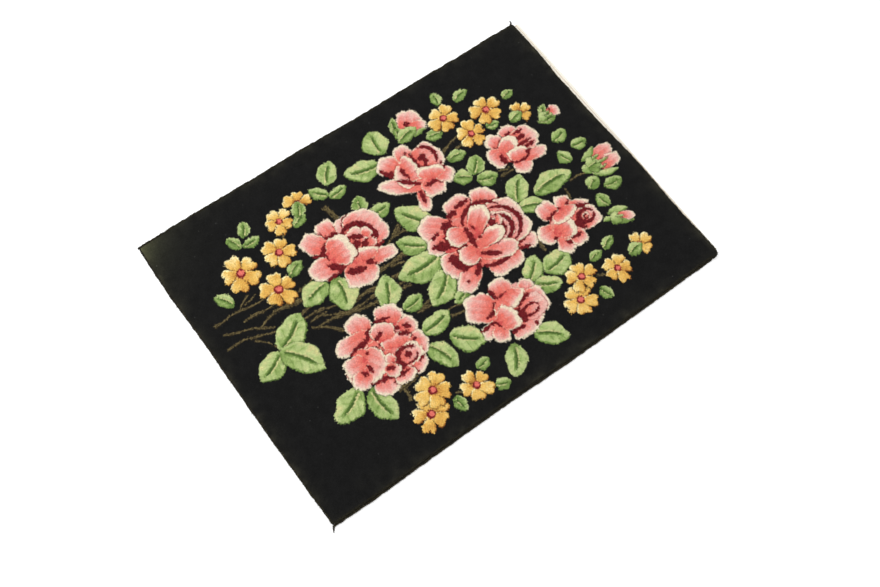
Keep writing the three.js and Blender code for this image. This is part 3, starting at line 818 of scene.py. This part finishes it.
def make_field_tufts(name, canvas, mask, seed):
    """Tufts on the yarns of a mask, leaning the way of the nap."""
    rng = default_rng(seed)
    level = PILE_TOP - GROUND_DROP + canvas.relief[mask]
    feet = np.column_stack([canvas.x[mask], canvas.y[mask], level - TUFT_SINK])
    feet[:, :2] += rng.normal(0, 0.2, (len(feet), 2))
    leans = rng.normal(0, 0.25, feet.shape) + NAP
    leans[:, 2] = rng.uniform(*TUFT_HEIGHT, len(feet))
    return make_tufts(name, feet, leans, TUFT_RADIUS, canvas.colour[mask], seed + 1)


def make_rim_tufts(rim, seed):
    """Tufts round the rim, leaning out of the wall. Those beside the cords aren't worn."""
    normal, rings = rim
    rng = default_rng(seed)
    feet = np.concatenate(rings[:4])
    ways = np.tile(normal, (4, 1))
    feet += rng.normal(0, 0.5, feet.shape) * np.array([1, 1, 0.8])
    feet[:, :2] -= RIM_SINK * ways
    out = RIM_SINK + np.minimum(rng.exponential(0.5, (len(feet), 1)), 2.2)
    leans = np.column_stack([ways * out, rng.normal(0.15, 0.4, len(feet))])
    beside_cord = abs(ways[:, 1:]) > 0.7
    tone = np.where(beside_cord, EDGE_WOOL, worn_wool(rng, len(feet)))
    return make_tufts("rim_tufts", feet, leans, TUFT_RADIUS, tone, seed + 1)


BACK_INSET, BACK_WALL = 0.5, 2.4  # how far in the back ends, and the height of its wall
BACK_GAIN, BACK_LIFT = 0.85, 12  # these mute the back's colours


def make_back():
    """The underside: the knots' backs in muted colours, and a low wall up into the pile."""
    columns, rows = round(HALF_LENGTH / KNOT), round(HALF_PILE / KNOT)
    canvas, x, y, grid, loop, edge = knot_grid(columns, rows, BACK_INSET)
    under = np.stack([x, y, np.zeros(x.shape)], axis=-1).reshape(-1, 3)
    over_edge = np.column_stack([edge, np.full(len(edge), BACK_WALL)])
    wall = quads(np.stack([grid[loop], x.size + np.arange(len(edge))]), closed=True)
    back = new_piece("back", np.concatenate([under, over_edge]), np.concatenate([quads(grid), wall]))
    # the back's colours include the ground's painted sheen at its edge and corner
    corners = quarters(canvas.colour * BACK_GAIN + BACK_LIFT)[:, :, [0, 3, 2, 1]]
    edge_tone = np.tile(1.4 * EDGE_WOOL, (4 * len(wall), 1))
    colour_corners(back, np.concatenate([corners.reshape(-1, 3), edge_tone]))
    unfold(back, np.concatenate([under[:, :2], edge * 1.01]))
    return dress(back, BACK_WOOL)


# Edge cords

# Points of a loose tail: x and y past the cord's end, radius
TAIL_FAR = ((3, 3, 1.5), (5.5, 6.5, 1.2), (6.5, 9.5, 1.1), (6, 12, 0.8))
TAIL_NEAR = ((-2.5, -3.5, 1.2), (-4.5, -6.5, 0.9), (-6, -9.5, 0.7))
CORD_RADIUS = 2.0
CORD_TUCK = 0.25  # a cord is pressed this far into the wall of the pile
CORD_SWELL = 0.07  # share by which a cord's thickness varies along it
CORD_WOOL_TONE = np.array([50.0, 45, 32])
CORD_END = 408  # a cord ends at this distance along the rug, but for the near one's round corner
NEAR_START = 393.5
WRAP_PITCH = 2.5  # width of a turn of the yarn
TWIST_PITCH = 7  # length of a turn of a tail's own twist
RING_STEP = 0.5
RING_SIDES = 12
END_RINGS = 8  # rings at each end that are neither smoothed nor hairy
HAIRS = 5  # to a ring
HAIR_RADIUS = 0.4
HAIR_LENGTH = (0.6, 1.7)  # least and most


def make_cord(name, start, end, side, sign, tail, seed):
    """A cord wrapped in yarn along a side of the pile, with a loose tail past its end, and its fuzz."""
    run_x = np.linspace(start, end, 80)
    run_y = side(run_x) + sign * (CORD_RADIUS - CORD_TUCK)
    run = np.column_stack([run_x, run_y, np.full(len(run_x), CORD_RADIUS)])
    loose = np.array([(run_x[-1] + x, run_y[-1] + y, r) for x, y, r in tail])
    route = np.concatenate([run, loose])
    reach = np.concatenate([[0], np.cumsum(np.linalg.norm(np.diff(route[:, :2], axis=0), axis=1))])
    loose_from = reach[len(run) - 1]
    at = np.arange(0, reach[-1], RING_STEP)
    x, y, radius = (np.interp(at, reach, route[:, k]) for k in range(3))
    soft = np.ones(9) / 9
    for line in (x, y):
        line[END_RINGS:-END_RINGS] = np.convolve(line, soft, "same")[END_RINGS:-END_RINGS]
    ahead = np.stack([np.gradient(x), np.gradient(y)], axis=1)
    ahead /= np.linalg.norm(ahead, axis=1, keepdims=True)
    rng = default_rng(seed)
    swell = CORD_SWELL * uneven(rng, len(at), 24)
    y += sign * CORD_RADIUS * swell
    radius *= 1 + swell
    theta = np.arange(RING_SIDES) / RING_SIDES * 2 * np.pi
    wrap = at / WRAP_PITCH + np.cumsum(rng.normal(0, 0.03, len(at)))
    lean = wrap[:, None] + 0.35 * np.cos(theta)
    ridge = abs(np.cos(np.pi * lean)) ** 0.7
    twist = abs(np.cos(theta - 2 * np.pi * at[:, None] / TWIST_PITCH))
    free = unit((at - loose_from) / 4)[:, None]
    shape = (0.84 + 0.18 * ridge) * (1 - free) + (0.74 + 0.28 * twist) * free
    ends = np.clip(np.minimum(at + 0.4, reach[-1] - at) / 0.8, 0.15, 1) ** 0.5
    r = radius[:, None] * shape * ends[:, None] + rng.normal(0, 0.03, shape.shape)
    out = r * np.cos(theta)
    up = np.maximum(radius[:, None] * 0.96 + r * np.sin(theta), 0.02)
    rings = np.stack([x[:, None] - ahead[:, 1:] * out, y[:, None] + ahead[:, :1] * out, up], axis=-1)
    cord = new_tube("wrapped_cord_" + name, rings)
    tone = rng.uniform(0.75, 1.25, int(np.ptp(wrap)) + 4)
    number = np.floor(lean - lean.min()).astype(int)[:-1]
    shade = np.concatenate([tone[np.clip(number, 0, len(tone) - 1)].ravel(), [1, 1]])
    colour_faces(cord, CORD_WOOL_TONE * shade[:, None])
    dress(cord, CORD_WOOL, "edge_cord_" + name)
    return cord, make_fuzz("cord_fuzz_" + name, rings, seed + 20)


def make_fuzz(name, rings, seed):
    """Short hairs standing out of a cord, from its rings of points."""
    rng = default_rng(seed)
    ring = rng.integers(END_RINGS, len(rings) - END_RINGS, HAIRS * len(rings))
    place = rng.integers(0, RING_SIDES, len(ring))
    feet = rings[ring, place]
    ways = feet - rings[ring].mean(axis=1)
    ways /= np.linalg.norm(ways, axis=1, keepdims=True)
    upper = ways[:, 2] > -0.6
    feet, ways = feet[upper], ways[upper]
    leans = ways * rng.uniform(*HAIR_LENGTH, (len(feet), 1)) + rng.normal(0, 0.35, feet.shape)
    leans[:, 2] = np.maximum(leans[:, 2], 0.1 - feet[:, 2])
    tone = worn_wool(rng, len(feet))
    return make_tufts(name, feet - 0.2 * ways, leans, HAIR_RADIUS, tone, seed + 1)


# Cotton web

WARP_PITCH, WEFT_PITCH = 2.4, 2.0
WEB_STEP, WEB_COLUMNS = 0.6, 15  # its points' spacing along the end, and their count across
CREAM = np.array([252.0, 247, 234])
TAN_SHARE = np.array([0.22, 0.34, 0.46])  # share of each colour taken away where the web is darker and browner


def make_web():
    """The woven cotton strip at the rug's end, frayed, and darker and browner beside the pile and along a
    line.
    """
    points = node_points("end_web")
    stations = np.unique(points[:, 1].round(1))
    at_station = [points[abs(points[:, 1] - at) < 0.2, 0] for at in stations]
    inner = np.array([x.min() for x in at_station])
    outer = np.array([x.max() for x in at_station])
    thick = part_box("end_web")[1][2] / MM
    along = np.arange(stations[0], stations[-1], WEB_STEP)
    across = np.linspace(0, 1, WEB_COLUMNS)
    rng = default_rng(SEED + 5)
    warp = 2 * np.pi * along / WARP_PITCH
    frayed = np.interp(along, stations, outer) + 0.5 * np.cos(warp) + rng.normal(0, 0.15, len(along))
    x = np.interp(along, stations, inner)[:, None] * (1 - across) + frayed[:, None] * across
    y = np.repeat(along[:, None], len(across), axis=1)
    weft = 2 * np.pi * (x - x.min()) / WEFT_PITCH
    weave = np.cos(warp)[:, None] * np.cos(weft)
    lift = thick - 0.45 + 0.22 * weave + 0.16 * np.cos(2 * warp)[:, None] + rng.normal(0, 0.03, x.shape)
    lift[:, -1] *= 0.7
    top = np.stack([x, y, lift], axis=-1)
    low = np.stack([x, y, np.full(x.shape, 0.05)], axis=-1)
    section = np.concatenate([top, low[:, ::-1]], axis=1)
    rows, columns = section.shape[:2]
    web = new_tube("cotton_web", section)
    tone = 1 + 0.04 * rng.normal(0, 1, (rows - 1, columns))
    from_pile = np.concatenate([across, across[::-1]])
    line = np.exp(-((from_pile - 0.5) / 0.09) ** 2)
    # darker and browner beside the pile and along a line down the strip
    tone_shift = (unit(1 - from_pile * 4) + 0.45 * line)[..., None] * TAN_SHARE
    colours = CREAM * (1 - tone_shift) * tone[..., None]
    colour_faces(web, np.concatenate([colours.reshape(-1, 3), np.full((2, 3), 240)]))
    return dress(web, COTTON, "end_web")


# The whole rug

MOTIF_TUFTS, GROUND_TUFTS = 0.45, 0.17  # shares of the yarns that end in a tuft

pile, canvas, rim = make_pile()
chance = default_rng(SEED + 11).random(canvas.kind.shape)
rose = canvas.kind == ROSE
ground = canvas.kind == GROUND
rose_tufts = make_field_tufts("rose_tufts", canvas, rose & (chance < MOTIF_TUFTS), SEED + 12)
leaf_tufts = make_field_tufts("leaf_tufts", canvas, ~rose & ~ground & (chance < MOTIF_TUFTS), SEED + 13)
ground_tufts = make_field_tufts("ground_tufts", canvas, ground & (chance < GROUND_TUFTS), SEED + 14)
rim_tufts = make_rim_tufts(rim, SEED + 16)
back = make_back()
cord_near, fuzz_near = make_cord("near", NEAR_START, -CORD_END, NEAR_SIDE, -1, TAIL_NEAR, SEED + 2)
cord_far, fuzz_far = make_cord("far", -CORD_END, CORD_END, FAR_SIDE, 1, TAIL_FAR, SEED + 3)
web = make_web()


# Stage, camera and light

FLOOR_SIDE = 40000.0  # half a side of the floor
IMAGE_WIDTH = 880  # pixels of the photograph
FOCAL_LENGTH = 1192.43  # in the same pixels
SENSOR = 36
CAMERA_PLACE = (-0.59203, -0.69565, 1.86214)  # this and the lamp's place and size are in metres
LAMP_PLACE = (-0.9, 1.9, 2.5)
LAMP_SIZE, LAMP_POWER = 1.4, 52
SKY_STRENGTH = 0.92
WHITE = (1, 1, 1, 1)


def make_floor():
    """A white floor that glows a little, so that it stays white."""
    corners = [(x * FLOOR_SIDE, y * FLOOR_SIDE, 0) for x, y in ((-1, -1), (1, -1), (1, 1), (-1, 1))]
    floor = new_piece("floor", corners, [(0, 1, 2, 3)])
    paper = {"Base Color": (0.9, 0.9, 0.9, 1), "Roughness": 0.9, "Specular IOR Level": DULL,
             "Emission Color": WHITE, "Emission Strength": 0.3}
    floor.data.materials.append(material("white_floor", paper)[0])


def make_camera():
    """The photograph's viewpoint, fitted to the rug's four sides."""
    right = np.array([0.80288, -0.59470, 0.04157])
    up = np.array([0.52972, 0.74367, 0.40787])
    back_way = np.cross(right, up)
    turn = Matrix(np.stack([right, up, back_way], axis=1).tolist())
    data = bpy.data.cameras.new("camera")
    data.sensor_width = SENSOR
    data.lens = FOCAL_LENGTH / IMAGE_WIDTH * SENSOR
    data.clip_end = 100
    camera = bpy.data.objects.new("camera", data)
    camera.matrix_world = Matrix.Translation(CAMERA_PLACE) @ turn.to_4x4()
    bpy.context.scene.collection.objects.link(camera)
    bpy.context.scene.camera = camera


def make_light():
    """An even white sky and one soft lamp, aimed at the rug's middle."""
    world = bpy.data.worlds.new("studio")
    world.use_nodes = True
    settle(world.node_tree.nodes["Background"], {"Color": WHITE, "Strength": SKY_STRENGTH})
    bpy.context.scene.world = world
    data = bpy.data.lights.new("key", "AREA")
    data.size = LAMP_SIZE
    data.energy = LAMP_POWER
    lamp = bpy.data.objects.new("key", data)
    lamp.location = LAMP_PLACE
    lamp.rotation_euler = (-Vector(LAMP_PLACE)).to_track_quat("-Z", "Y").to_euler()
    bpy.context.scene.collection.objects.link(lamp)
    bpy.context.scene.view_settings.view_transform = "Standard"


make_floor()
make_camera()
make_light()
